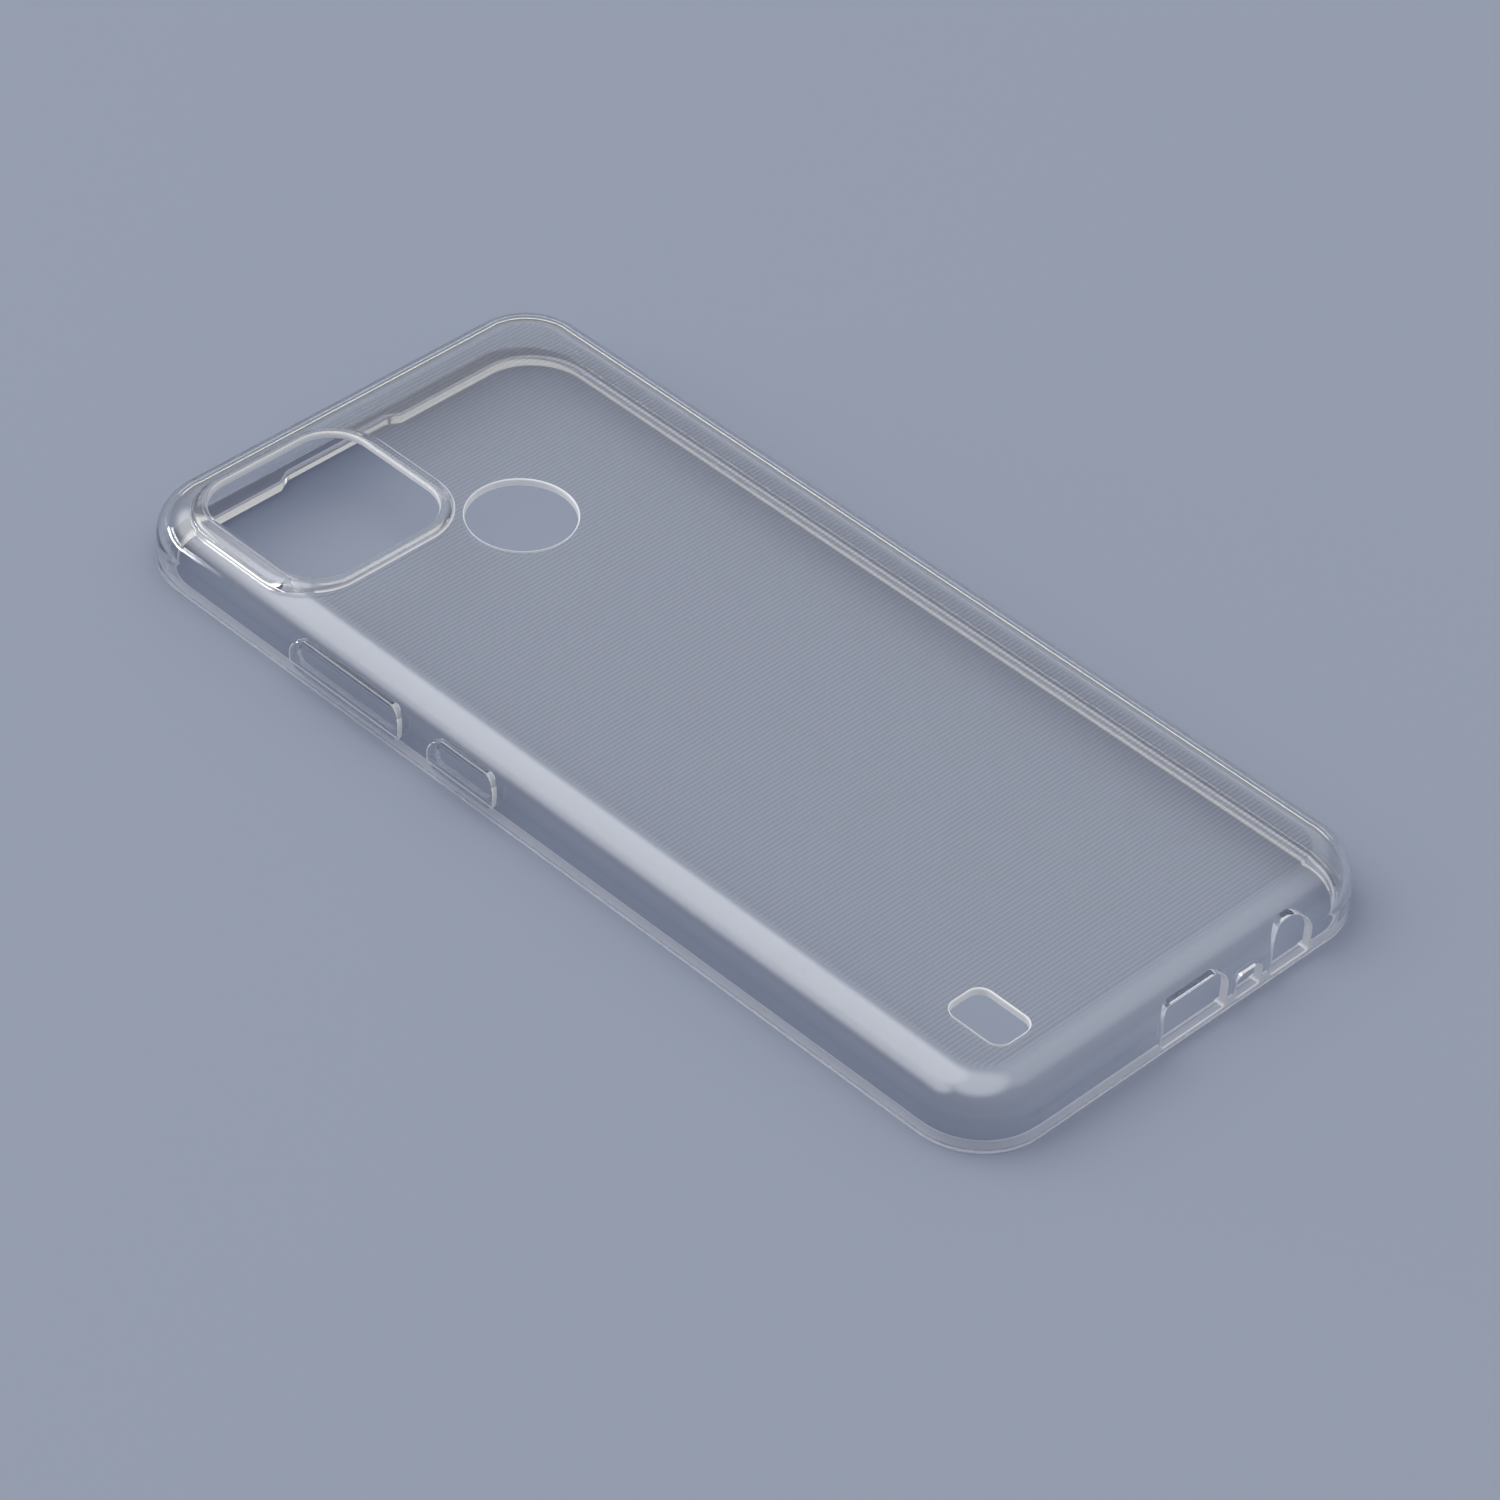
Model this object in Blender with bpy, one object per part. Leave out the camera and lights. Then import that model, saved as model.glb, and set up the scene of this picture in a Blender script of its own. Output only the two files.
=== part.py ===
"""Clear soft phone case, lying on its screen opening with its back up.

Units are metres. +Y points to the phone's top end, +Z out of the case's back,
and the side buttons are on the -X wall. The origin is on the surface that the
case lies on, under the middle of its box.
"""

import math

import bmesh
import bpy

# The phone that the case fits.
PHONE_LENGTH = 0.1654
PHONE_WIDTH = 0.0760
PHONE_THICKNESS = 0.0083

# The moulding: walls, back, front lip and their roundings.
WALL = 0.0012
BACK = 0.0011
CORNER_RADIUS = 0.0110
SHOULDER_RADIUS = 0.0060
LIP_THICKNESS = 0.0012
LIP_OVERLAP_SIDE = 0.0008
LIP_OVERLAP_BOTTOM = 0.0008
LIP_OVERLAP_TOP = 0.0024
LIP_EDGE_ROUND = 0.0004
EARPIECE_NOTCH_WIDTH = 0.0210
EARPIECE_NOTCH_DEPTH = 0.0008
EARPIECE_NOTCH_SHIFT = -0.0015

# Clearance between neighbouring solids.
CLEARANCE = 0.0003

# Camera window in the back, measured from the case's top and button edges.
WINDOW_WIDTH = 0.0278
WINDOW_HEIGHT = 0.0246
WINDOW_CORNER = 0.0065
WINDOW_FROM_TOP = 0.0206
WINDOW_FROM_BUTTON_SIDE = 0.0189
GUARD_RING = 0.0026
GUARD_RISE = 0.0009
GUARD_ROUND = 0.0007

# Fingerprint hole and loudspeaker slot in the back.
FINGER_HOLE_RADIUS = 0.0080
FINGER_HOLE_FROM_TOP = 0.0399
SPEAKER_WIDTH = 0.0068
SPEAKER_LENGTH = 0.0100
SPEAKER_CORNER = 0.0020
SPEAKER_FROM_BOTTOM = 0.0130
SPEAKER_FROM_BUTTON_SIDE = 0.0143

# Side buttons, as raised pads on the -X wall.
PAD_HEIGHT = 0.0060
PAD_RISE = 0.0007
PAD_CORNER = 0.0022
VOLUME_LENGTH = 0.0226
VOLUME_FROM_TOP = 0.0471
POWER_LENGTH = 0.0134
POWER_FROM_TOP = 0.0706

# Cut-outs in the bottom end wall, as distances along X from its middle.
USB_WIDTH = 0.0124
USB_TOP = 0.0076
USB_CORNER = 0.0022
USB_SHIFT = 0.0011
MIC_WIDTH = 0.0048
MIC_TOP = 0.0050
MIC_CORNER = 0.0012
MIC_SHIFT = 0.0118
JACK_WIDTH = 0.0076
JACK_TOP = 0.0083
JACK_CORNER = 0.0037
JACK_SHIFT = 0.0201

# Facets of a quarter turn.
CORNER_STEPS = 10
SHOULDER_STEPS = 7
SMALL_STEPS = 6
EDGE_STEPS = 3
HOLE_STEPS = 48

# Sizes that follow from the ones above.
CASE_LENGTH = PHONE_LENGTH + 2 * WALL
CASE_WIDTH = PHONE_WIDTH + 2 * WALL
INSIDE_TOP = LIP_THICKNESS + PHONE_THICKNESS
CASE_HEIGHT = INSIDE_TOP + BACK
FRAME_BOTTOM = LIP_THICKNESS + CLEARANCE
INSIDE_CORNER = CORNER_RADIUS - WALL
INSIDE_SHOULDER = SHOULDER_RADIUS - WALL
TOP_EDGE = CASE_LENGTH / 2
BOTTOM_EDGE = -CASE_LENGTH / 2
BUTTON_EDGE = -CASE_WIDTH / 2
PAD_MIDDLE = FRAME_BOTTOM + CLEARANCE + PAD_HEIGHT / 2

# How far a cutter runs past what it cuts.
PAST = 0.0050

WINDOW_X = BUTTON_EDGE + WINDOW_FROM_BUTTON_SIDE
WINDOW_Y = TOP_EDGE - WINDOW_FROM_TOP
GUARD_WIDTH = WINDOW_WIDTH + 2 * GUARD_RING
GUARD_HEIGHT = WINDOW_HEIGHT + 2 * GUARD_RING
GUARD_CORNER = WINDOW_CORNER + GUARD_RING

PORTS = (
    ("usb_cut", USB_SHIFT, USB_WIDTH, USB_TOP, USB_CORNER),
    ("mic_cut", MIC_SHIFT, MIC_WIDTH, MIC_TOP, MIC_CORNER),
    ("jack_cut", JACK_SHIFT, JACK_WIDTH, JACK_TOP, JACK_CORNER),
)


def clear_scene():
    """Remove whatever the file holds."""
    for obj in list(bpy.data.objects):
        bpy.data.objects.remove(obj, do_unlink=True)


def new_collection(name):
    """Make a collection in the scene."""
    made = bpy.data.collections.new(name)
    bpy.context.scene.collection.children.link(made)
    return made


def clear_tpu(name, grey, roughness):
    """Clear moulded polyurethane, a little grey, with a moulded surface."""
    made = bpy.data.materials.new(name)
    made.use_nodes = True
    shader = made.node_tree.nodes["Principled BSDF"]
    shader.inputs["Base Color"].default_value = (grey, grey, grey * 1.02, 1)
    shader.inputs["Metallic"].default_value = 0
    shader.inputs["Roughness"].default_value = roughness
    shader.inputs["Transmission Weight"].default_value = 1
    shader.inputs["IOR"].default_value = 1.5
    return made


def edges_at_height(mesh, z):
    """The edges that lie level at one height."""
    return [e for e in mesh.edges if all(math.isclose(v.co.z, z, abs_tol=1e-7) for v in e.verts)]


def rounded_block(name, width, length, low, high, corner, top_round=0, bottom_round=0, large=False):
    """A block from low to high, rounded in plan, with its top or bottom edge rounded over."""
    mesh = bmesh.new()
    bmesh.ops.create_cube(mesh, size=1)
    for vert in mesh.verts:
        vert.co.x *= width
        vert.co.y *= length
        vert.co.z = low if vert.co.z < 0 else high
    upright = [e for e in mesh.edges if abs(e.verts[0].co.z - e.verts[1].co.z) > 1e-6]
    round_over(mesh, upright, corner, CORNER_STEPS if large else SMALL_STEPS)
    if top_round:
        round_over(mesh, edges_at_height(mesh, high), top_round, SHOULDER_STEPS if large else SMALL_STEPS)
    if bottom_round:
        round_over(mesh, edges_at_height(mesh, low), bottom_round, EDGE_STEPS)
    bmesh.ops.recalc_face_normals(mesh, faces=mesh.faces)
    data = bpy.data.meshes.new(name)
    mesh.to_mesh(data)
    mesh.free()
    return bpy.data.objects.new(name, data)


def round_over(mesh, edges, radius, steps):
    """Round edges over with an arc of a radius."""
    bmesh.ops.bevel(
        mesh, geom=edges, offset=radius, offset_type="OFFSET", segments=steps,
        profile=0.5, affect="EDGES", clamp_overlap=False,
    )


def round_bar(name, radius, low, high):
    """An upright round bar."""
    mesh = bmesh.new()
    bmesh.ops.create_cone(
        mesh, cap_ends=True, segments=HOLE_STEPS, radius1=radius, radius2=radius, depth=high - low,
    )
    bmesh.ops.translate(mesh, verts=mesh.verts, vec=(0, 0, (low + high) / 2))
    data = bpy.data.meshes.new(name)
    mesh.to_mesh(data)
    mesh.free()
    return bpy.data.objects.new(name, data)


def cut(piece, *cutters, keep="DIFFERENCE"):
    """Take cutters out of a piece, or keep only what lies in them."""
    for cutter in cutters:
        change = piece.modifiers.new(cutter.name, "BOOLEAN")
        change.operation = keep
        change.solver = "EXACT"
        change.object = cutter


def as_cutter(obj, x=0, y=0, z=0, turn=(0, 0, 0)):
    """Place a cutter under the case's middle and keep it out of the picture."""
    CUTTERS.objects.link(obj)
    obj.parent = MIDDLE
    obj.location = (x, y, z)
    obj.rotation_euler = turn
    obj.hide_render = True
    obj.display_type = "WIRE"
    return obj


def as_part(obj, material, x=0, y=0, z=0, turn=(0, 0, 0)):
    """Place a part under the case's middle and give it its material."""
    CASE.objects.link(obj)
    obj.parent = MIDDLE
    obj.location = (x, y, z)
    obj.rotation_euler = turn
    obj.data.materials.append(material)
    obj.data.shade_smooth()
    obj.data.set_sharp_from_angle(angle=math.radians(35))
    return obj


def case_block(name, low, grow=0):
    """The case's outside as a solid block, from a height up to its back, or that much larger all round."""
    return rounded_block(
        name, CASE_WIDTH + 2 * grow, CASE_LENGTH + 2 * grow, low, CASE_HEIGHT + grow,
        CORNER_RADIUS + grow, SHOULDER_RADIUS + grow, large=True,
    )


def cavity_cutter():
    """The room that the phone takes up."""
    block = rounded_block(
        "phone_cavity_cut", PHONE_WIDTH, PHONE_LENGTH, -PAST, INSIDE_TOP, INSIDE_CORNER, INSIDE_SHOULDER,
        large=True,
    )
    return as_cutter(block)


def panel_block(name, low, high, grow):
    """The flat of the back, which ends where the shoulders start."""
    flat_width = CASE_WIDTH - 2 * SHOULDER_RADIUS + 2 * grow
    flat_length = CASE_LENGTH - 2 * SHOULDER_RADIUS + 2 * grow
    return rounded_block(name, flat_width, flat_length, low, high, CORNER_RADIUS - SHOULDER_RADIUS + grow)


def guard_cutter():
    """Room for the camera guard, with clearance round it."""
    block = rounded_block(
        "camera_guard_cut", GUARD_WIDTH + 2 * CLEARANCE, GUARD_HEIGHT + 2 * CLEARANCE,
        -PAST, CASE_HEIGHT + PAST, GUARD_CORNER + CLEARANCE,
    )
    return as_cutter(block, WINDOW_X, WINDOW_Y)


def port_cutter(name, shift, width, top, corner):
    """A cut through the bottom wall, from the lip up, with its upper corners rounded."""
    height = 2 * (top - FRAME_BOTTOM)
    block = rounded_block(name, width, height, -PAST, SHOULDER_RADIUS + PAST, corner)
    return as_cutter(block, shift, BOTTOM_EDGE, FRAME_BOTTOM, (-math.pi / 2, 0, 0))


def pad_block(name, length, grow):
    """A button pad's outline, run through the wall along X from outside the case inwards."""
    height = PAD_HEIGHT + 2 * grow
    return rounded_block(name, height, length + 2 * grow, -SHOULDER_RADIUS, PAST, PAD_CORNER + grow)


def pad_window(name, length, from_top):
    """The place of a button pad in the wall, with clearance round it."""
    block = pad_block(name, length, CLEARANCE)
    return as_cutter(block, BUTTON_EDGE, TOP_EDGE - from_top, PAD_MIDDLE, (0, -math.pi / 2, 0))


def make_back_panel(shared_cuts):
    """The flat back, with the fingerprint hole and the loudspeaker slot."""
    panel = panel_block("back_panel", INSIDE_TOP, CASE_HEIGHT, -CLEARANCE / 2)
    as_part(panel, clear_tpu("back_tpu", 0.94, 0.06))
    hole = as_cutter(
        round_bar("finger_hole_cut", FINGER_HOLE_RADIUS, 0, CASE_HEIGHT + PAST),
        0, TOP_EDGE - FINGER_HOLE_FROM_TOP,
    )
    slot = as_cutter(
        rounded_block("speaker_cut", SPEAKER_WIDTH, SPEAKER_LENGTH, 0, CASE_HEIGHT + PAST, SPEAKER_CORNER),
        BUTTON_EDGE + SPEAKER_FROM_BUTTON_SIDE, BOTTOM_EDGE + SPEAKER_FROM_BOTTOM,
    )
    cut(panel, shared_cuts["guard"], hole, slot)


def make_bumper_frame(shared_cuts):
    """The side walls and rounded shoulders, with the port cut-outs and the places of the buttons."""
    frame = as_part(case_block("bumper_frame", FRAME_BOTTOM), clear_tpu("frame_tpu", 0.92, 0.04))
    flat = as_cutter(panel_block("back_panel_cut", 0, CASE_HEIGHT + PAST, CLEARANCE / 2))
    cut(frame, shared_cuts["cavity"], flat, shared_cuts["guard"])
    cut(frame, *(port_cutter(*port) for port in PORTS))
    cut(
        frame,
        pad_window("volume_window_cut", VOLUME_LENGTH, VOLUME_FROM_TOP),
        pad_window("power_window_cut", POWER_LENGTH, POWER_FROM_TOP),
    )


def make_screen_lip():
    """The front rim that holds the phone in, narrowed at the earpiece."""
    lip = rounded_block(
        "screen_lip", CASE_WIDTH, CASE_LENGTH, 0, LIP_THICKNESS, CORNER_RADIUS,
        bottom_round=LIP_EDGE_ROUND, large=True,
    )
    as_part(lip, clear_tpu("lip_tpu", 0.92, 0.04))
    opening_width = PHONE_WIDTH - 2 * LIP_OVERLAP_SIDE
    opening_top = PHONE_LENGTH / 2 - LIP_OVERLAP_TOP
    opening_bottom = -PHONE_LENGTH / 2 + LIP_OVERLAP_BOTTOM
    opening = rounded_block(
        "screen_opening_cut", opening_width, opening_top - opening_bottom, -PAST, LIP_THICKNESS + PAST,
        INSIDE_CORNER - LIP_OVERLAP_SIDE, large=True,
    )
    as_cutter(opening, 0, (opening_top + opening_bottom) / 2)
    notch = rounded_block(
        "earpiece_notch_cut", EARPIECE_NOTCH_WIDTH, 2 * EARPIECE_NOTCH_DEPTH, -PAST, LIP_THICKNESS + PAST,
        EARPIECE_NOTCH_DEPTH / 2,
    )
    as_cutter(notch, EARPIECE_NOTCH_SHIFT, opening_top)
    cut(lip, opening, notch)


def make_camera_guard(shared_cuts):
    """The raised ring round the camera window."""
    ring = rounded_block(
        "camera_guard", GUARD_WIDTH, GUARD_HEIGHT, CASE_HEIGHT - SHOULDER_RADIUS, CASE_HEIGHT + GUARD_RISE,
        GUARD_CORNER, GUARD_ROUND,
    )
    as_part(ring, clear_tpu("guard_tpu", 0.92, 0.04), WINDOW_X, WINDOW_Y)
    window = as_cutter(
        rounded_block("camera_window_cut", WINDOW_WIDTH, WINDOW_HEIGHT, 0, CASE_HEIGHT + PAST, WINDOW_CORNER),
        WINDOW_X, WINDOW_Y,
    )
    cut(ring, window, shared_cuts["cavity"])


def make_button(name, length, from_top, shared_cuts):
    """A raised button pad that follows the wall, with its origin on the wall's outside at its middle."""
    pad = pad_block(name, length, 0)
    place = (BUTTON_EDGE, TOP_EDGE - from_top, PAD_MIDDLE)
    as_part(pad, clear_tpu(name + "_tpu", 0.92, 0.04), *place, (0, -math.pi / 2, 0))
    cut(pad, shared_cuts["pad_face"], keep="INTERSECT")
    cut(pad, shared_cuts["cavity"])


clear_scene()
CASE = new_collection("phone_case")
CUTTERS = new_collection("cutters")

# The pads stand out on one side, so the case's middle lies half that far from the box's.
MIDDLE = bpy.data.objects.new("case_middle", None)
CASE.objects.link(MIDDLE)
MIDDLE.location = (PAD_RISE / 2, 0, 0)

cuts = {
    "cavity": cavity_cutter(),
    "guard": guard_cutter(),
    "pad_face": as_cutter(case_block("pad_face_guide", -PAST, PAD_RISE)),
}
make_back_panel(cuts)
make_bumper_frame(cuts)
make_screen_lip()
make_camera_guard(cuts)
make_button("volume_button", VOLUME_LENGTH, VOLUME_FROM_TOP, cuts)
make_button("power_button", POWER_LENGTH, POWER_FROM_TOP, cuts)
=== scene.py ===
# %% [markdown]
# # A clear phone case
# The real case is one soft moulding of clear polyurethane. A flat back with a fine dot texture inside rolls
# over a round shoulder into thin side walls, and a narrow lip round the front holds the phone in.
# The frame gives its zones as separate solids with hairline gaps between them, and two button pads that
# move. This lesson models the moulding as one unbroken clear shell, because a gap inside clear plastic
# shows as a bright line that the real case doesn't have. The two pads stay pieces of their own.

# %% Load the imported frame
import math

import bmesh
import bpy
from mathutils import Matrix, Vector


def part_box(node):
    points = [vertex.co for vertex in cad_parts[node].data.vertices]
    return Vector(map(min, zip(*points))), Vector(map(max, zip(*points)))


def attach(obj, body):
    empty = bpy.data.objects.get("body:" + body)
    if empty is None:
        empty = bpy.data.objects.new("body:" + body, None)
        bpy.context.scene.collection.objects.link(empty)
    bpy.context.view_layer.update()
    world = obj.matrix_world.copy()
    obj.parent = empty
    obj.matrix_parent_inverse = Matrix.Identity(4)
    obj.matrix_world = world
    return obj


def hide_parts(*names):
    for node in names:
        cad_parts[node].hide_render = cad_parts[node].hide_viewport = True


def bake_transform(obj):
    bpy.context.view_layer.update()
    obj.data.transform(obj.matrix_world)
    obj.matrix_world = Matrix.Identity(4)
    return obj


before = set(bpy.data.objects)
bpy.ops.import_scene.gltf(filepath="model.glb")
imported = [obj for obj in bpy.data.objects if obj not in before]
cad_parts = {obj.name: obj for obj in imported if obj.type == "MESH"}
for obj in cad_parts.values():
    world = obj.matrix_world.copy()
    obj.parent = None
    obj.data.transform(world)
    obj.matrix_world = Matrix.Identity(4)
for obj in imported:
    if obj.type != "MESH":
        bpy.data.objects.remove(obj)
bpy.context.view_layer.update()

MM = 0.001

# %% [markdown]
# ## The camera
# The photograph was taken from the buttons' side and the bottom end, looking down at about 41 degrees with a
# long lens, and it leans a little. A camera could be placed by eye. Here its direction, lean and lens are
# written as the angles and sizes that make the frame's own edges fall on the photographed ones.

# %% Camera
VIEW_TURN = math.radians(47.06)
VIEW_DOWN = math.radians(40.737)
VIEW_LEAN = math.radians(3.7626)
VIEW_DISTANCE = 830.05 * MM
VIEW_AIM = Vector((-2.0, -4.9, 0.0)) * MM
LENS_MM = 145.126
SENSOR_MM = 36.0


def add_camera():
    """Put the camera on its line of sight, leaning as the photographer's did."""
    forward = Vector((math.sin(VIEW_TURN) * math.cos(VIEW_DOWN),
                      math.cos(VIEW_TURN) * math.cos(VIEW_DOWN),
                      -math.sin(VIEW_DOWN)))
    level_right = Vector((math.cos(VIEW_TURN), -math.sin(VIEW_TURN), 0.0))
    level_up = level_right.cross(forward)
    right = math.cos(VIEW_LEAN) * level_right + math.sin(VIEW_LEAN) * level_up
    up = math.cos(VIEW_LEAN) * level_up - math.sin(VIEW_LEAN) * level_right
    camera_data = bpy.data.cameras.new("product_camera")
    camera_data.lens = LENS_MM
    camera_data.sensor_width = SENSOR_MM
    camera_data.clip_start = 0.05
    camera_data.clip_end = 20.0
    camera = bpy.data.objects.new("product_camera", camera_data)
    bpy.context.scene.collection.objects.link(camera)
    turn = Matrix((right, up, -forward)).transposed()
    camera.matrix_world = Matrix.Translation(VIEW_AIM - forward * VIEW_DISTANCE) @ turn.to_4x4()
    bpy.context.scene.camera = camera
    return camera


camera = add_camera()
print("camera at", [round(value / MM, 1) for value in camera.matrix_world.translation], "mm")

# %% [markdown]
# ## Clear polyurethane
# The case is thermoplastic polyurethane, moulded in a polished tool. It is clear and glossy, with an index of
# refraction near 1.5. The back's inner face carries a fine dot texture that keeps it from sticking to the
# phone. At a cut edge the sheet is seen end on, and the light that it has scattered on the way makes the
# edge look milky; that light is painted on the edge faces as a pale white finish. So the one plastic has four
# finishes: clear walls, the ribbed back, edges with painted light, and a grey haze that paints the pale band
# of light seen through the lip. A volume shader could scatter the light, but it is slow and grainy in so thin
# a wall, so the scattering is painted on the surfaces instead.

# %% Helpers for finishes
def linear(hex_colour):
    """Turn an sRGB hex colour into the linear values that shaders use."""
    channels = [int(hex_colour[i:i + 2], 16) / 255 for i in (1, 3, 5)]
    return [c / 12.92 if c <= 0.04045 else ((c + 0.055) / 1.055) ** 2.4 for c in channels] + [1.0]


def add_node(tree, kind, links=None, **settings):
    """Add a shader node, set its sockets and properties by name, and link what feeds it."""
    node = tree.nodes.new(kind)
    for name, value in settings.items():
        socket = node.inputs.get(name.replace("_", " "))
        if socket is None:
            setattr(node, name, value)
        else:
            socket.default_value = value
    for name, source in (links or {}).items():
        tree.links.new(source, node.inputs[name])
    return node


def new_material(name):
    """Start a material with an empty node tree."""
    material = bpy.data.materials.new(name)
    material.use_nodes = True
    material.node_tree.nodes.clear()
    return material, material.node_tree


LOST_AFTER = 2.5


def finish_plastic(tree, shader, tint):
    """Let the studio's light through to the floor, and turn light that is trapped in the wall to a pale glow.

    A ray that has been thrown back inside the wall more than LOST_AFTER times would end black, where real
    plastic scatters it.
    """
    rays = add_node(tree, "ShaderNodeLightPath")
    lost = add_node(tree, "ShaderNodeMath", {0: rays.outputs["Glossy Depth"]}, operation="GREATER_THAN")
    lost.inputs[1].default_value = LOST_AFTER
    glow = add_node(tree, "ShaderNodeBsdfDiffuse", Color=linear("#C8CBD1"))
    straight = add_node(tree, "ShaderNodeBsdfTransparent", Color=linear(tint))
    for when, other in ((lost.outputs[0], glow), (rays.outputs["Is Shadow Ray"], straight),
                        (rays.outputs["Is Diffuse Ray"], straight)):
        shader = add_node(tree, "ShaderNodeMixShader", {0: when, 1: shader.outputs[0], 2: other.outputs[0]})
    add_node(tree, "ShaderNodeOutputMaterial", {"Surface": shader.outputs[0]})


# %% The finishes
# The real dots stand 0.58 mm apart. They are drawn a quarter coarser, so that their rows show in the render.
DOT_PITCH = 0.72 * MM
RIB_SKIN = 0.05 * MM
GLOSS = {"Roughness": 0.05, "IOR": 1.5, "Transmission_Weight": 1.0, "Coat_Weight": 0.5}
BACK_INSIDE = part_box("back_panel")[0].z


def clear_wall():
    """Polished clear polyurethane of the walls and shoulders, which shade the floor a little."""
    material, tree = new_material("clear_polyurethane_wall")
    shader = add_node(tree, "ShaderNodeBsdfPrincipled", Base_Color=linear("#FAFBFC"), **GLOSS)
    finish_plastic(tree, shader, "#C8CAD4")
    return material


def clear_back():
    """The flat back, with the fine ribs of dots on its inner face."""
    material, tree = new_material("clear_polyurethane_ribbed_back")
    place = add_node(tree, "ShaderNodeTexCoord")
    axes = add_node(tree, "ShaderNodeSeparateXYZ", {0: place.outputs["Object"]})
    rows = add_node(tree, "ShaderNodeMath", {0: axes.outputs["Y"]}, operation="MULTIPLY")
    rows.inputs[1].default_value = 2 * math.pi / DOT_PITCH
    wave = add_node(tree, "ShaderNodeMath", {0: rows.outputs[0]}, operation="SINE")
    inner = add_node(tree, "ShaderNodeMath", {0: axes.outputs["Z"]}, operation="COMPARE")
    inner.inputs[1].default_value = BACK_INSIDE
    inner.inputs[2].default_value = RIB_SKIN
    ribs = add_node(tree, "ShaderNodeMath", {0: wave.outputs[0], 1: inner.outputs[0]}, operation="MULTIPLY")
    share = add_node(tree, "ShaderNodeMapRange", {"Value": ribs.outputs[0]}, From_Min=-1.0, From_Max=1.0)
    tint = add_node(tree, "ShaderNodeMix", {"Factor": share.outputs[0]}, data_type="RGBA")
    tint.inputs[6].default_value = linear("#D2D5DA")
    tint.inputs[7].default_value = linear("#FFFFFF")
    shader = add_node(tree, "ShaderNodeBsdfPrincipled", {"Base Color": tint.outputs[2]}, **GLOSS)
    finish_plastic(tree, shader, "#FCFCFD")
    return material


def paint_edge_light():
    """Painted light: a pale white finish on a cut edge, standing in for the light that the sheet scatters to
    it.
    """
    material, tree = new_material("polyurethane_edge_painted_light")
    gloss = add_node(tree, "ShaderNodeBsdfPrincipled", Base_Color=linear("#FCFCFD"), Roughness=0.12,
                     IOR=1.5, Transmission_Weight=0.15)
    glow = add_node(tree, "ShaderNodeBsdfTranslucent", Color=linear("#F8F9FA"))
    shader = add_node(tree, "ShaderNodeMixShader", {1: gloss.outputs[0], 2: glow.outputs[0]}, Fac=0.35)
    finish_plastic(tree, shader, "#F0F0F3")
    return material


def paint_light_haze():
    """Painted light: a grey diffuse haze that paints the pale band of light seen through the lip."""
    material, tree = new_material("polyurethane_painted_light_haze")
    gloss = add_node(tree, "ShaderNodeBsdfPrincipled", Base_Color=linear("#FAFBFC"), **GLOSS)
    haze = add_node(tree, "ShaderNodeBsdfDiffuse", Color=linear("#C4C8CF"))
    shader = add_node(tree, "ShaderNodeMixShader", {1: gloss.outputs[0], 2: haze.outputs[0]}, Fac=0.6)
    finish_plastic(tree, shader, "#F0F0F3")
    return material


clear = clear_wall()
ribbed = clear_back()
painted_edge_light = paint_edge_light()
painted_light_haze = paint_light_haze()
print("finishes:", clear.name, ribbed.name, painted_edge_light.name, painted_light_haze.name)

# %% [markdown]
# ## Blocks, rounded edges and cuts
# Nearly every shape on a moulded case is a box with rounded edges, added to or cut from another. So four
# helpers carry the lesson: one adds a box from a cube, one rounds over the edges that a test picks, one
# applies a boolean, and one gives a finish to the faces that a test picks. Sculpting or a subdivision cage
# would also give soft edges, but they would let the walls drift away from the sizes that the frame gives.

# %% Helpers for modelling
TINY = 0.004 * MM
CRISP_ANGLE = math.radians(50)
# How much of a face's normal lies along the direction that it faces, if it faces that way at all.
FACING = 0.9


def pick_alone(piece):
    """Deselect everything, and make one piece the selected and active object."""
    bpy.ops.object.select_all(action="DESELECT")
    piece.select_set(True)
    bpy.context.view_layer.objects.active = piece


def add_block(name, low, high, finish=None):
    """Add a cube and stretch it between two corners, with its place in its mesh."""
    low, high = Vector(low), Vector(high)
    bpy.ops.object.select_all(action="DESELECT")
    bpy.ops.mesh.primitive_cube_add(size=1.0, location=(low + high) / 2)
    block = bpy.context.object
    block.name = name
    block.scale = high - low
    bpy.ops.object.transform_apply(location=True, rotation=True, scale=True)
    block.data.materials.append(finish or clear)
    return block


def round_over(piece, wanted, radius, steps, finish=None):
    """Round the edges of a piece that the test picks, and give the new faces a finish if one is named."""
    pick_alone(piece)
    if finish and finish.name not in piece.data.materials:
        piece.data.materials.append(finish)
    finish_slot = piece.data.materials.find(finish.name) if finish else -1
    bpy.ops.object.mode_set(mode="EDIT")
    bpy.ops.mesh.select_mode(type="EDGE")
    bpy.ops.mesh.select_all(action="DESELECT")
    mesh = bmesh.from_edit_mesh(piece.data)
    for edge in mesh.edges:
        if wanted(edge):
            edge.select_set(True)
    bmesh.update_edit_mesh(piece.data)
    bpy.ops.mesh.bevel(offset=radius, segments=steps, affect="EDGES", clamp_overlap=False,
                       material=finish_slot)
    bpy.ops.object.mode_set(mode="OBJECT")


def cut(piece, cutter, how="DIFFERENCE"):
    """Cut a piece with another, or join or overlap the two, and remove the other."""
    pick_alone(piece)
    change = piece.modifiers.new(cutter.name, "BOOLEAN")
    change.operation = how
    change.solver = "EXACT"
    change.material_mode = "TRANSFER"
    change.object = cutter
    bpy.ops.object.modifier_apply(modifier=change.name)
    bpy.data.objects.remove(cutter)


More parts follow.
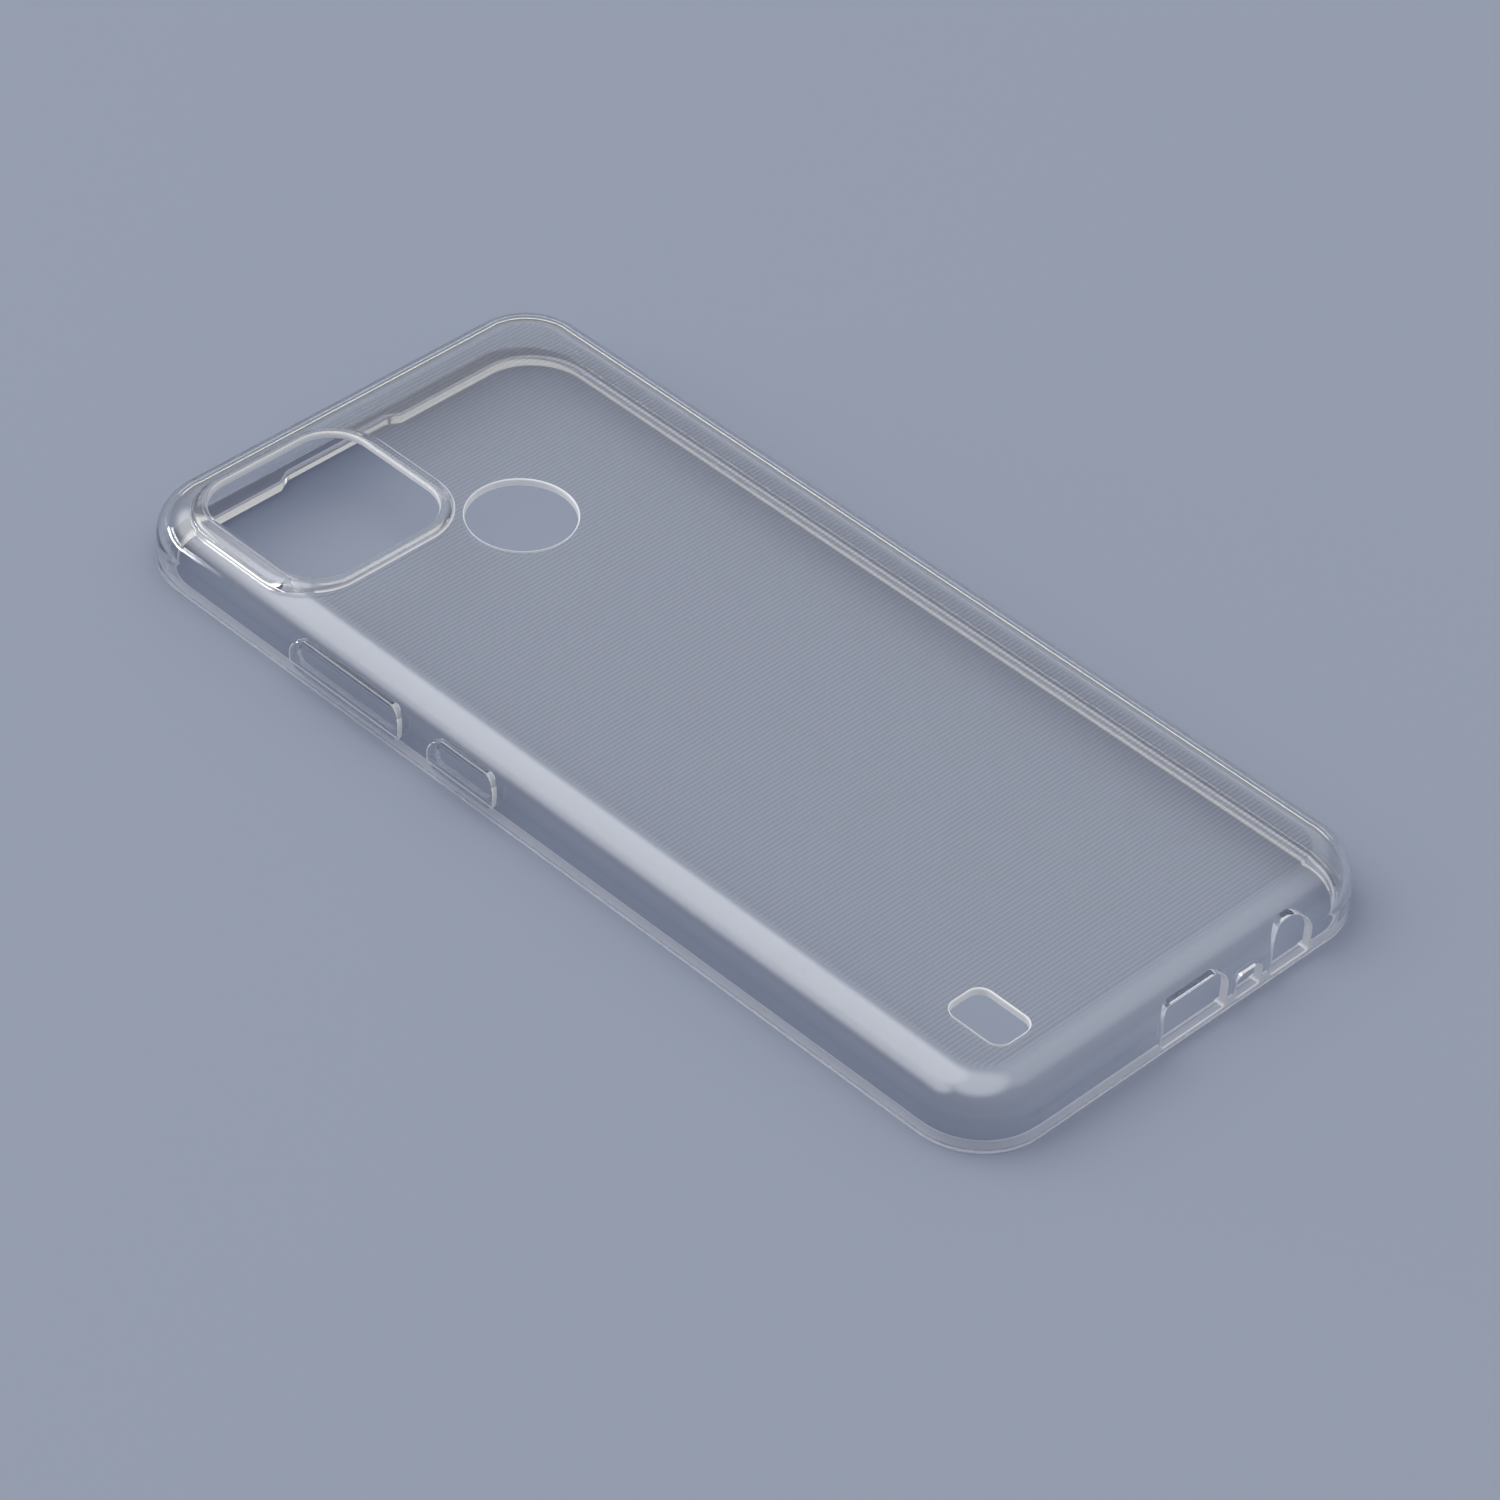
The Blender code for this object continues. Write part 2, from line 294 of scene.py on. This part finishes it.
def dress(piece, wanted, finish):
    """Give a finish to the faces of a piece that the test picks."""
    if finish.name not in piece.data.materials:
        piece.data.materials.append(finish)
    finish_slot = piece.data.materials.find(finish.name)
    for face in piece.data.polygons:
        if wanted(face):
            face.material_index = finish_slot


def along(edge, axis):
    """Whether an edge runs along one axis: 0 is X, 1 is Y and 2 is Z."""
    step = edge.verts[1].co - edge.verts[0].co
    return abs(step[axis]) > TINY and abs(step.length - abs(step[axis])) < TINY


def level(edge, height):
    """Whether both ends of an edge lie at one height."""
    return all(abs(corner.co.z - height) < TINY for corner in edge.verts)


def crisp(edge):
    """Whether the faces beside an edge turn sharply there."""
    return edge.calc_face_angle(0.0) > CRISP_ANGLE


# %% [markdown]
# ## The outside of the shell
# The outside is a block with generous upright corners, whose back rolls over in a shoulder almost as deep as
# the case. The uprights are rounded first and the shoulder after them, so that it runs round the corners in
# one sweep, as the mould's cutter did. Its size comes from the frame's boxes.

# %% Outer block
WALL = 1.2 * MM
CORNER_RADIUS = 11.0 * MM
SHOULDER_RADIUS = 6.0 * MM
FRONT_EDGE_RADIUS = 0.35 * MM
CORNER_STEPS = 24
SHOULDER_STEPS = 24
FRONT_EDGE_STEPS = 4

lip_low, lip_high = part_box("screen_lip")
guard_low, guard_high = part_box("camera_guard")
CENTRE_X = (lip_low.x + lip_high.x) / 2
BACK_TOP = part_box("back_panel")[1].z
# The lip is as thick as its band in the photograph, which also closes the frame's hairline gap above it.
LIP_THICKNESS = 1.75 * MM
LIP_TOP = lip_low.z + LIP_THICKNESS


def add_rounded_block(name, low, high, corner, shoulder):
    """Add a block with rounded uprights and a rounded upper edge."""
    block = add_block(name, low, high)
    round_over(block, lambda edge: along(edge, 2), corner, CORNER_STEPS)
    round_over(block, lambda edge: level(edge, high[2]), shoulder, SHOULDER_STEPS)
    return block


shell = add_rounded_block("clear_shell", lip_low, (lip_high.x, lip_high.y, BACK_TOP),
                          CORNER_RADIUS, SHOULDER_RADIUS)
# The front edge's round takes the grey haze of painted light.
round_over(shell, lambda edge: level(edge, lip_low.z), FRONT_EDGE_RADIUS, FRONT_EDGE_STEPS, painted_light_haze)
print("outer block:", len(shell.data.polygons), "faces,", [round(d / MM, 2) for d in shell.dimensions], "mm")

# %% [markdown]
# ## The camera guard and the inside
# A low bead stands round the camera window so that the lenses don't touch a table. It is a second rounded
# block joined to the shell, deep enough to run into the shoulder beside it. The inside is then hollowed by a
# block that keeps the wall's thickness all the way over the shoulder, and the screen opening leaves the lip
# standing round it. Solidify could give the wall too, but the front lip and the guard need it to be cut by
# hand. The lip's upper edge is rounded before the ports cut through it. Seen through the back, that round is
# the bright line along the far sides, painted with edge light.

# %% Guard, hollow and lip
GUARD_CORNER = 9.1 * MM
GUARD_ROUND = 1.2 * MM
GUARD_STEPS = 12
GUARD_DEPTH = 7.0 * MM
# The lip reaches in further on the far side than on the near ones, and furthest at the earpiece's end.
LIP_OVERLAP = 1.0 * MM
LIP_OVERLAP_NEAR = 0.5 * MM
LIP_OVERLAP_TOP = 2.65 * MM
LIP_CORNER = 9.3 * MM
LIP_EDGE = 0.3 * MM
LIP_STEPS = 4
SEAT_FILLET = 0.12 * MM
SEAT_STEPS = 4
NOTCH_WIDTH = 21.0 * MM
NOTCH_DEPTH = 1.2 * MM
NOTCH_RAMP = 2.2 * MM
NOTCH_ROUND = 0.5 * MM
NOTCH_SHIFT = -1.5 * MM
REACH = 5.0 * MM

guard = add_block("guard", (guard_low.x, guard_low.y, guard_high.z - GUARD_DEPTH), guard_high)
round_over(guard, lambda edge: along(edge, 2), GUARD_CORNER, CORNER_STEPS)
round_over(guard, lambda edge: level(edge, guard_high.z), GUARD_ROUND, GUARD_STEPS)
cut(shell, guard, "UNION")

inside_low = Vector((lip_low.x + WALL, lip_low.y + WALL, LIP_TOP))
inside_high = Vector((lip_high.x - WALL, lip_high.y - WALL, BACK_INSIDE))
inside = add_rounded_block("inside", inside_low, inside_high, CORNER_RADIUS - WALL, SHOULDER_RADIUS - WALL)
# The seat's round is painted with edge light; the far sides are set back to clear on the next line.
round_over(inside, lambda edge: level(edge, LIP_TOP), SEAT_FILLET, SEAT_STEPS, painted_edge_light)
dress(inside, lambda face: face.normal.x + face.normal.y > 0.0, clear)
cut(shell, inside)

screen_top = inside_high.y - LIP_OVERLAP_TOP
screen_low = inside_low.xy + Vector((LIP_OVERLAP_NEAR, LIP_OVERLAP_NEAR))
screen = add_block("screen", (*screen_low, lip_low.z - REACH),
                   (inside_high.x - LIP_OVERLAP, screen_top, LIP_TOP + REACH / 2))
round_over(screen, lambda edge: along(edge, 2), LIP_CORNER, CORNER_STEPS)
notch_middle = CENTRE_X + NOTCH_SHIFT
notch_half = NOTCH_WIDTH / 2 + NOTCH_RAMP * 1.5
notch = add_block("notch", (notch_middle - notch_half, screen_top - NOTCH_DEPTH, lip_low.z - REACH),
                  (notch_middle + notch_half, screen_top + NOTCH_DEPTH, LIP_TOP + REACH / 2))
for corner in notch.data.vertices:
    if corner.co.y > screen_top:
        corner.co.x -= math.copysign(NOTCH_RAMP * 2, corner.co.x - notch_middle)
round_over(notch, lambda edge: along(edge, 2) and edge.verts[0].co.y > screen_top, NOTCH_ROUND, GUARD_STEPS)
cut(screen, notch, "UNION")
cut(shell, screen)
# The lip's upper round takes the painted edge light.
round_over(shell, lambda edge: level(edge, LIP_TOP) and crisp(edge), LIP_EDGE, LIP_STEPS, painted_edge_light)
print("hollow shell:", len(shell.data.polygons), "faces")

# %% [markdown]
# ## The openings
# The back has a window for the cameras, a round hole for the fingerprint reader and a slot for the
# loudspeaker. Behind the guard the back is recessed, so that the bead is no thicker than the other walls.
# Each opening could be drawn into the sheet from the start. Here it is a plain cutter with rounded corners
# that goes right through the wall, which keeps each opening's size in one place.

# %% Openings in the back
RING_LOW = Vector((3.15, 1.85)) * MM
RING_HIGH = Vector((2.45, 1.85)) * MM
RING_THICKNESS = 1.0 * MM
RECESS_LOW = Vector((0.2, 1.0)) * MM
RECESS_HIGH = Vector((1.0, 1.0)) * MM
WINDOW_CORNER = 6.5 * MM
FINGER_RADIUS = 8.0 * MM
FINGER_FROM_TOP = 39.9 * MM
FINGER_SIDES = 128
SLOT_SIZE = Vector((6.8, 10.0)) * MM
SLOT_CORNER = 2.0 * MM
SLOT_FROM_BOTTOM = 13.0 * MM
SLOT_FROM_BUTTONS = 14.3 * MM

window_low = guard_low.xy + RING_LOW
window_high = guard_high.xy - RING_HIGH
recess = add_block("recess", (*(window_low - RECESS_LOW), BACK_INSIDE - REACH),
                   (*(window_high + RECESS_HIGH), guard_high.z - RING_THICKNESS))
round_over(recess, lambda edge: along(edge, 2), WINDOW_CORNER, CORNER_STEPS)
# The recess walls take the painted edge light.
dress(recess, lambda face: abs(face.normal.z) < FACING, painted_edge_light)
cut(shell, recess)
# The window's walls take the painted edge light, save the one on the buttons' side, which stays clear.
window = add_block("window", (*window_low, BACK_INSIDE - REACH), (*window_high, guard_high.z + REACH), painted_edge_light)
round_over(window, lambda edge: along(edge, 2), WINDOW_CORNER, CORNER_STEPS)
dress(window, lambda face: face.normal.x < -FACING, clear)
cut(shell, window)

bpy.ops.object.select_all(action="DESELECT")
bpy.ops.mesh.primitive_cylinder_add(vertices=FINGER_SIDES, radius=FINGER_RADIUS, depth=2 * REACH,
                                    location=(CENTRE_X, lip_high.y - FINGER_FROM_TOP, BACK_TOP))
finger_hole = bpy.context.object
finger_hole.name = "finger_hole"
# The finger hole's wall takes the painted edge light.
finger_hole.data.materials.append(painted_edge_light)
bpy.ops.object.transform_apply(location=True, rotation=True, scale=True)
cut(shell, finger_hole)

slot_middle = Vector((lip_low.x + SLOT_FROM_BUTTONS, lip_low.y + SLOT_FROM_BOTTOM, BACK_TOP))
slot_half = Vector((SLOT_SIZE.x / 2, SLOT_SIZE.y / 2, REACH))
# The speaker slot's walls take the painted edge light.
slot = add_block("speaker_slot", slot_middle - slot_half, slot_middle + slot_half, painted_edge_light)
round_over(slot, lambda edge: along(edge, 2), SLOT_CORNER, GUARD_STEPS)
cut(shell, slot)
print("with the back's openings:", len(shell.data.polygons), "faces")

# %% [markdown]
# ## The ports
# The bottom end has cut-outs for the charging plug, the microphone and the headphone plug. The mould forms
# them with cores that slide in from that end, so each is one straight cutter. It has a rounded top and cuts a
# shallow sill into the lip. Its two sides are seen end on from the camera, so they are painted with edge
# light.

# %% Openings in the bottom end
PORT_SILL = 1.35 * MM
PORT_STEPS = 10
PORTS = {
    "charging_port": {"middle": 1.1 * MM, "width": 12.4 * MM, "top": 7.6 * MM, "corner": 2.2 * MM},
    "microphone_slot": {"middle": 11.8 * MM, "width": 4.8 * MM, "top": 5.0 * MM, "corner": 1.2 * MM},
    "headphone_port": {"middle": 20.1 * MM, "width": 7.6 * MM, "top": 8.3 * MM, "corner": 3.4 * MM},
}
SILL_CORNER = 0.5 * MM
SIDEWAYS = 0.5

for name, port in PORTS.items():
    middle = CENTRE_X + port["middle"]
    cutter = add_block(name, (middle - port["width"] / 2, lip_low.y - REACH, PORT_SILL),
                       (middle + port["width"] / 2, lip_low.y + REACH, port["top"]))
    round_over(cutter, lambda edge: along(edge, 1) and edge.verts[0].co.z > PORT_SILL + TINY,
               port["corner"], PORT_STEPS)
    round_over(cutter, lambda edge: along(edge, 1) and level(edge, PORT_SILL), SILL_CORNER, PORT_STEPS)
    dress(cutter, lambda face: abs(face.normal.x) > SIDEWAYS, painted_edge_light)
    cut(shell, cutter)
print("with the ports:", len(shell.data.polygons), "faces")

# %% [markdown]
# ## The button pads
# Over the phone's keys the wall carries two raised pads, and behind each pad a shallow pocket inside the
# wall makes room for the key. A pad could be one more block joined to the shell, but it has to move, so it
# is a piece of its own that sits on the wall with a hairline gap. Its faces repeat the wall's own section,
# lifted a little, so two grown copies of the outer block, one cut from the other, give the pad's skin.

# %% Pads and pockets
PAD_CORNER = 2.8 * MM
PAD_EDGE = 0.2 * MM
PAD_STEPS = 10
PAD_EDGE_STEPS = 4
FOOT_STEP = 0.25 * MM
FOOT_HEIGHT = 1.9 * MM
FOOT_EDGE = 0.45 * MM
PAD_SEAT_GAP = 0.02 * MM
PAD_CLEAR_TOP = 1.2 * MM
FLANK = 0.2
CREASE_ANGLE = math.radians(4)
CREASE_SLOPE = 0.15
POCKET_DEPTH = 0.55 * MM
POCKET_LOW = 3.6 * MM
POCKET_HIGH = 7.0 * MM
POCKET_INSET = 1.2 * MM
POCKET_CORNER = 1.4 * MM
SHOULDER_AXIS = Vector((lip_low.x + SHOULDER_RADIUS, 0.0, BACK_TOP - SHOULDER_RADIUS))


def add_section(name, lift):
    """Add a copy of the outer block with its walls and back moved outwards by a lift, and open below."""
    grown = Vector((lift, lift, 0.0))
    low = lip_low - grown - Vector((0.0, 0.0, REACH))
    high = Vector((lip_high.x, lip_high.y, BACK_TOP + lift)) + grown
    return add_rounded_block(name, low, high, CORNER_RADIUS + lift, SHOULDER_RADIUS + lift)


def add_side_outline(name, low, high, corner):
    """Add a block with rounded corners in side view, from outside the wall to inside it."""
    block = add_block(name, (lip_low.x - REACH, low[0], low[1]), (lip_low.x + REACH, high[0], high[1]))
    round_over(block, lambda edge: along(edge, 0), corner, PAD_STEPS)
    return block


def proud(edge):
    """How far the middle of an edge stands outside the wall's section."""
    middle = (edge.verts[0].co + edge.verts[1].co) / 2
    across = SHOULDER_AXIS.x - middle.x
    up = max(middle.z - SHOULDER_AXIS.z, 0.0)
    return math.hypot(across, up) - SHOULDER_RADIUS


def slope_foot(pad, low):
    """Cut the pad's foot back to a slope that rises from the wall to the pad's face."""
    foot_top = Vector((low.x, low.y, low.z + FOOT_HEIGHT))
    run = Vector((lip_low.x - FOOT_STEP - low.x, 0.0, -FOOT_HEIGHT)).normalized()
    pick_alone(pad)
    bpy.ops.object.mode_set(mode="EDIT")
    bpy.ops.mesh.select_all(action="SELECT")
    bpy.ops.mesh.bisect(plane_co=foot_top, plane_no=(run.z, 0.0, -run.x), use_fill=True, clear_outer=True,
                        threshold=TINY / 10)
    bpy.ops.object.mode_set(mode="OBJECT")


def on_crease(edge):
    """Whether an edge is the crease above the pad's sloping foot."""
    outside = [face.normal for face in edge.link_faces if face.normal.x < -FACING]
    sloping = len(outside) == 2 and min(normal.z for normal in outside) < -CREASE_SLOPE
    return sloping and edge.calc_face_angle(0.0) > CREASE_ANGLE


def add_pad(name, node):
    """Make one pad: a lifted skin of the wall's section, cut to the pad's outline, with a sloping foot."""
    low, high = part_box(node)
    pad = add_section(name, lip_low.x - low.x)
    outline = add_side_outline("outline", low.yz, high.yz, PAD_CORNER)
    # The pad's flanks, the crease over its foot and its small rounds take the painted edge light for their
    # bright lines.
    dress(outline, lambda face: True, painted_edge_light)
    cut(pad, outline, "INTERSECT")
    cut(pad, add_section("wall", PAD_SEAT_GAP))
    slope_foot(pad, low)
    dress(pad, lambda face: face.normal.x < -FACING, clear)
    round_over(pad, on_crease, FOOT_EDGE, PAD_EDGE_STEPS, painted_edge_light)
    round_over(pad, lambda edge: crisp(edge) and proud(edge) > PAD_EDGE, PAD_EDGE, PAD_EDGE_STEPS, painted_edge_light)
    dress(pad, lambda face: face.center.z > high.z - PAD_CLEAR_TOP, clear)
    # The pad's upper faces that turn towards the bottom end take the grey haze of painted light.
    dress(pad, lambda face: face.center.z > high.z - PAD_CLEAR_TOP and face.normal.y < -FLANK, painted_light_haze)
    return pad


def cut_pocket(node):
    """Cut the shallow pocket for the phone's key into the wall behind a pad."""
    low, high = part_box(node)
    pocket = add_section("pocket", POCKET_DEPTH - WALL)
    cut(pocket, add_side_outline("outline", (low.y + POCKET_INSET, POCKET_LOW),
                                 (high.y - POCKET_INSET, POCKET_HIGH), POCKET_CORNER), "INTERSECT")
    cut(shell, pocket)


pads = {}
for node in ("volume_button", "power_button"):
    cut_pocket(node)
    pads[node] = add_pad("clear_" + node, node)
    print(node, "pad:", len(pads[node].data.polygons), "faces")

# %% [markdown]
# ## Softened edges
# A mould leaves no razor edges: each opening is rounded by a few tenths of a millimetre, and these small
# rounds catch the light as thin bright lines; on most of them that light is painted with the edge finish. One
# bevel modifier could round every edge at once. Here each family of edges is picked by its height or place,
# because it has a radius and a finish of its own.

# %% Round the cut edges
HOLE_EDGE = 0.25 * MM
GUARD_INNER_EDGE = 0.5 * MM
LIP_FOOT_EDGE = 0.12 * MM
EDGE_STEPS = 4

round_over(shell, lambda edge: level(edge, guard_high.z) and crisp(edge), GUARD_INNER_EDGE, EDGE_STEPS)
# The rounds of the back's openings take the painted edge light.
round_over(shell, lambda edge: level(edge, BACK_TOP) and crisp(edge), HOLE_EDGE, EDGE_STEPS, painted_edge_light)
round_over(shell, lambda edge: level(edge, lip_low.z) and crisp(edge), LIP_FOOT_EDGE, EDGE_STEPS)

PORT_EDGE = 0.22 * MM
ON_WALL = 0.02 * MM


def on_port(edge):
    """Whether an edge is a crisp one round a port, on the outside of the bottom end."""
    middle = (edge.verts[0].co + edge.verts[1].co) / 2
    outside = max(SHOULDER_RADIUS - (middle.y - lip_low.y), 0.0)
    above = max(middle.z - SHOULDER_AXIS.z, 0.0)
    return (crisp(edge) and middle.z > PORT_SILL - TINY and middle.y < lip_low.y + SHOULDER_RADIUS
            and abs(math.hypot(outside, above) - SHOULDER_RADIUS) < ON_WALL)


# The rounds round the ports take the painted edge light too.
round_over(shell, on_port, PORT_EDGE, EDGE_STEPS, painted_edge_light)
print("with rounded edges:", len(shell.data.polygons), "faces")

# %% [markdown]
# ## Which face has which finish
# The flat back is ribbed. Along the two near sides the lip is painted as a pale band of light, where the
# camera looks through the wall at its cut end, which takes the painted edge light, and at its underside,
# which takes the painted light haze. It is clear along the far ones. Painting the finishes as a mask would
# need an image, so whole faces take them. The lip's underside is one flat ring, and it is first split from
# corner to corner.

# %% Dress the faces
FLAT = 0.999
DOWNWARD = 0.99
UPRIGHT = 0.1
ACROSS = Vector((lip_high.y - lip_low.y, lip_high.x - lip_low.x, 0.0)).normalized()


def on_back(face):
    """Whether a face is part of the flat back, outside or inside."""
    height = face.center.z
    return abs(face.normal.z) > FLAT and min(abs(height - BACK_INSIDE), abs(height - BACK_TOP)) < TINY


def on_lip_end(face):
    """Whether a face is the lip's end round the screen opening, on the two sides near the camera."""
    within = (inside_low.x < face.center.x < inside_high.x and inside_low.y < face.center.y < inside_high.y)
    near = face.normal.x + face.normal.y > 0.0
    return within and near and abs(face.normal.z) < UPRIGHT and face.center.z < LIP_TOP


def underneath(face):
    """Whether a face is part of the lip's flat underside."""
    return face.normal.z < -DOWNWARD and abs(face.center.z - lip_low.z) < TINY


def split_underside():
    """Split the lip's underside from corner to corner, so that its near half can have a finish of its own."""
    pick_alone(shell)
    for face in shell.data.polygons:
        face.select = underneath(face)
    bpy.ops.object.mode_set(mode="EDIT")
    bpy.ops.mesh.select_mode(type="FACE")
    bpy.ops.mesh.bisect(plane_co=(CENTRE_X, 0.0, 0.0), plane_no=ACROSS)
    bpy.ops.object.mode_set(mode="OBJECT")


split_underside()
dress(shell, on_back, ribbed)
# The lip's cut end on the two near sides takes the painted edge light.
dress(shell, on_lip_end, painted_edge_light)
# The near half of the lip's underside takes the grey haze of painted light.
dress(shell, lambda face: underneath(face) and ACROSS.dot(face.center) < 0.0, painted_light_haze)
print("finishes on the shell:", [finish.name for finish in shell.data.materials])

# %% [markdown]
# ## Smooth shading and a check
# The rounds are made of narrow flat faces, and smooth shading by angle hides their edges. Weighted normals
# then keep the large flat faces flat. More faces would do the same at a greater cost. Each piece has to be
# closed, because clear plastic with a hole in its skin bends light wrongly, so open edges are counted.

# %% Smooth and measure
SMOOTH_ANGLE = math.radians(32)
MERGE = 0.003 * MM


def finish_surface(piece):
    """Merge stray doubles, turn the faces out and shade the rounds smoothly."""
    pick_alone(piece)
    bpy.ops.object.mode_set(mode="EDIT")
    bpy.ops.mesh.select_all(action="SELECT")
    bpy.ops.mesh.remove_doubles(threshold=MERGE)
    bpy.ops.mesh.dissolve_degenerate(threshold=MERGE)
    bpy.ops.mesh.normals_make_consistent(inside=False)
    bpy.ops.object.mode_set(mode="OBJECT")
    bpy.ops.object.shade_smooth_by_angle(angle=SMOOTH_ANGLE)
    weigh = piece.modifiers.new("flat_faces_lead", "WEIGHTED_NORMAL")
    weigh.keep_sharp = True
    bpy.ops.object.modifier_apply(modifier=weigh.name)


def count_open_edges(piece):
    """Count the edges that don't have exactly two faces."""
    mesh = bmesh.new()
    mesh.from_mesh(piece.data)
    loose = sum(1 for edge in mesh.edges if len(edge.link_faces) != 2)
    volume = mesh.calc_volume(signed=True)
    mesh.free()
    return loose, volume


for piece in (shell, *pads.values()):
    finish_surface(piece)
    loose, volume = count_open_edges(piece)
    print(piece.name, "open edges:", loose, "volume:", round(volume / MM ** 3, 1), "mm3")

# %% [markdown]
# ## Floor and light
# The case lies on a plain pale card in a white studio. A large soft light hangs behind it on the left and
# reaches overhead, which draws the broad highlight along the buttons' side and round the corner. An area
# lamp would do that too, but its edges would show in the glossy shoulders, so the studio's walls themselves
# get soft bright patches. One narrow lamp low at the back adds the fine streaks by the camera, and a weaker
# one low on the far right draws the thin bright line along the far edges.

# %% Floor and lights
FLOOR_SIZE = 4.0
FLOOR_DROP = 0.02 * MM
STRIPS = {
    "low_strip": {"towards": (-0.58, 0.81, 0.08), "distance": 0.675, "width": 0.365, "height": 0.05,
                  "watts": 1.0},
    "far_strip": {"towards": (0.73, 0.67, 0.05), "distance": 0.9, "width": 1.2, "height": 0.05,
                  "watts": 0.24},
}


def floor_card():
    """Matt pale card."""
    material, tree = new_material("matt_pale_card")
    shader = add_node(tree, "ShaderNodeBsdfPrincipled", Base_Color=linear("#828A9A"), Roughness=0.9)
    add_node(tree, "ShaderNodeOutputMaterial", {"Surface": shader.outputs["BSDF"]})
    return material


bpy.ops.object.select_all(action="DESELECT")
bpy.ops.mesh.primitive_plane_add(size=FLOOR_SIZE, location=(0.0, 0.0, -FLOOR_DROP))
floor = bpy.context.object
floor.name = "floor_card"
bpy.ops.object.transform_apply(location=True, rotation=True, scale=True)
floor.data.materials.append(floor_card())


def add_strip(name, towards, distance, width, height, watts):
    """Add a rectangular lamp that faces the case from a direction, out of the camera's sight."""
    lamp = bpy.data.lights.new(name, "AREA")
    lamp.shape = "RECTANGLE"
    lamp.size = width
    lamp.size_y = height
    lamp.energy = watts
    strip = bpy.data.objects.new(name, lamp)
    bpy.context.scene.collection.objects.link(strip)
    place = Vector(towards).normalized() * distance
    strip.location = place
    strip.rotation_euler = (-place).to_track_quat("-Z", "Y").to_euler()
    strip.visible_camera = False


for name, strip in STRIPS.items():
    add_strip(name, **strip)
print("floor:", FLOOR_SIZE, "m wide; narrow lamps:", list(STRIPS))

# %% [markdown]
# ## The studio's walls
# A photographer would hang cloth panels. Here the world itself is white, dim all round, and brighter in
# round patches. Each patch is given by its direction, the angle over which it is even, the angle at which it
# has faded out, and its level.

# %% Soft studio walls
WALL_LEVEL = 0.2
PATCHES = {
    "back_left_light": {"towards": (-0.28, 0.50, 0.82), "even": 22, "soft": 40, "level": 2.7},
    "left_light": {"towards": (-0.70, 0.36, 0.60), "even": 8, "soft": 28, "level": 2.2},
    "overhead_light": {"towards": (-0.20, -0.08, 0.98), "even": 18, "soft": 46, "level": 2.0},
    "right_front_light": {"towards": (0.45, -0.22, 0.86), "even": 12, "soft": 40, "level": 0.9},
    "right_back_wall": {"towards": (0.56, 0.36, 0.75), "even": 14, "soft": 44, "level": 0.6},
}


def add_studio():
    """Make a world of pale walls with round bright patches, each even in its middle and soft at its rim."""
    world = bpy.data.worlds.new("studio")
    world.use_nodes = True
    tree = world.node_tree
    tree.nodes.clear()
    view = add_node(tree, "ShaderNodeTexCoord")
    light = add_node(tree, "ShaderNodeValue")
    light.outputs[0].default_value = WALL_LEVEL
    for name, patch in PATCHES.items():
        facing = add_node(tree, "ShaderNodeVectorMath", {0: view.outputs["Generated"]},
                          operation="DOT_PRODUCT", label=name)
        facing.inputs[1].default_value = Vector(patch["towards"]).normalized()
        bright = add_node(tree, "ShaderNodeMapRange", {"Value": facing.outputs["Value"]},
                          interpolation_type="SMOOTHSTEP",
                          From_Min=math.cos(math.radians(patch["soft"])),
                          From_Max=math.cos(math.radians(patch["even"])), To_Max=patch["level"])
        light = add_node(tree, "ShaderNodeMath", {0: light.outputs[0], 1: bright.outputs[0]},
                         operation="MAXIMUM")
    walls = add_node(tree, "ShaderNodeBackground", {"Strength": light.outputs[0]}, Color=linear("#FFFFFF"))
    add_node(tree, "ShaderNodeOutputWorld", {"Surface": walls.outputs[0]})
    return world


bpy.context.scene.world = add_studio()
bpy.context.scene.view_settings.view_transform = "Standard"
print("studio walls with", len(PATCHES), "bright patches")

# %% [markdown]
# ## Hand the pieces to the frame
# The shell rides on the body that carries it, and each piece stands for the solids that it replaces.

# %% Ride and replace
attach(shell, "shell")
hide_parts("back_panel", "bumper_frame", "screen_lip", "camera_guard")
for node, pad in pads.items():
    low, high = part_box(node)
    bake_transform(pad)
    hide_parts(node)
